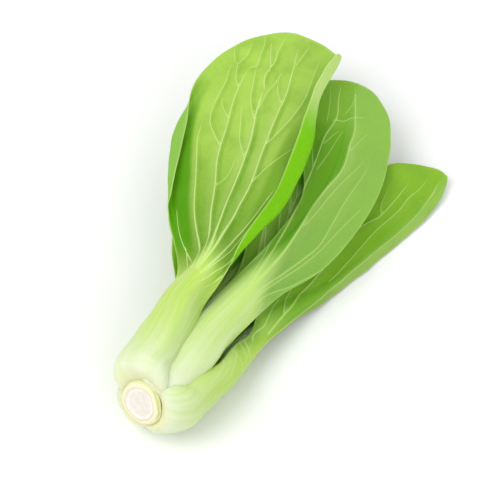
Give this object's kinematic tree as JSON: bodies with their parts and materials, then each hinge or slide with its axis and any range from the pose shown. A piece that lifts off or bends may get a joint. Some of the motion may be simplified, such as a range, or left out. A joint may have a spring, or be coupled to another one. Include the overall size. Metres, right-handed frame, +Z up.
{
  "type": "bok choy",
  "caption": "Small head of bok choy lying on its side: a cut crown, a rounded bulb of pale leaf stalks and broad green blades fanning out from it.",
  "frame": {"origin": "centre of the bounding box's base, on the surface that the head lies on", "axes": "+Y from the cut end towards the leaf tips, +Z up from the surface, +X to the right seen from above with the tips away"},
  "size_m": [0.1228, 0.2122, 0.0527],
  "materials": {
    "crown": "moist, freshly cut plant tissue, satin",
    "outer_leaf": "waxy leaf, satin; stalk nearly white and glossy",
    "middle_leaf": "waxy leaf, satin; stalk pale green and glossy",
    "inner_leaf": "young leaf, satin",
    "heart_leaf": "pale young leaf, satin"
  },
  "bodies": {
    "root": {"crown": "crown", "leaf_outer_top": "outer_leaf", "leaf_outer_right": "outer_leaf", "leaf_outer_under": "outer_leaf", "leaf_second_top": "middle_leaf", "leaf_second_under": "middle_leaf", "leaf_second_left": "middle_leaf", "leaf_third_top": "inner_leaf", "leaf_third_right": "inner_leaf", "leaf_third_under": "inner_leaf", "leaf_heart_large": "heart_leaf", "leaf_heart_middle": "heart_leaf", "leaf_heart_small": "heart_leaf"}
  },
  "joints": []
}
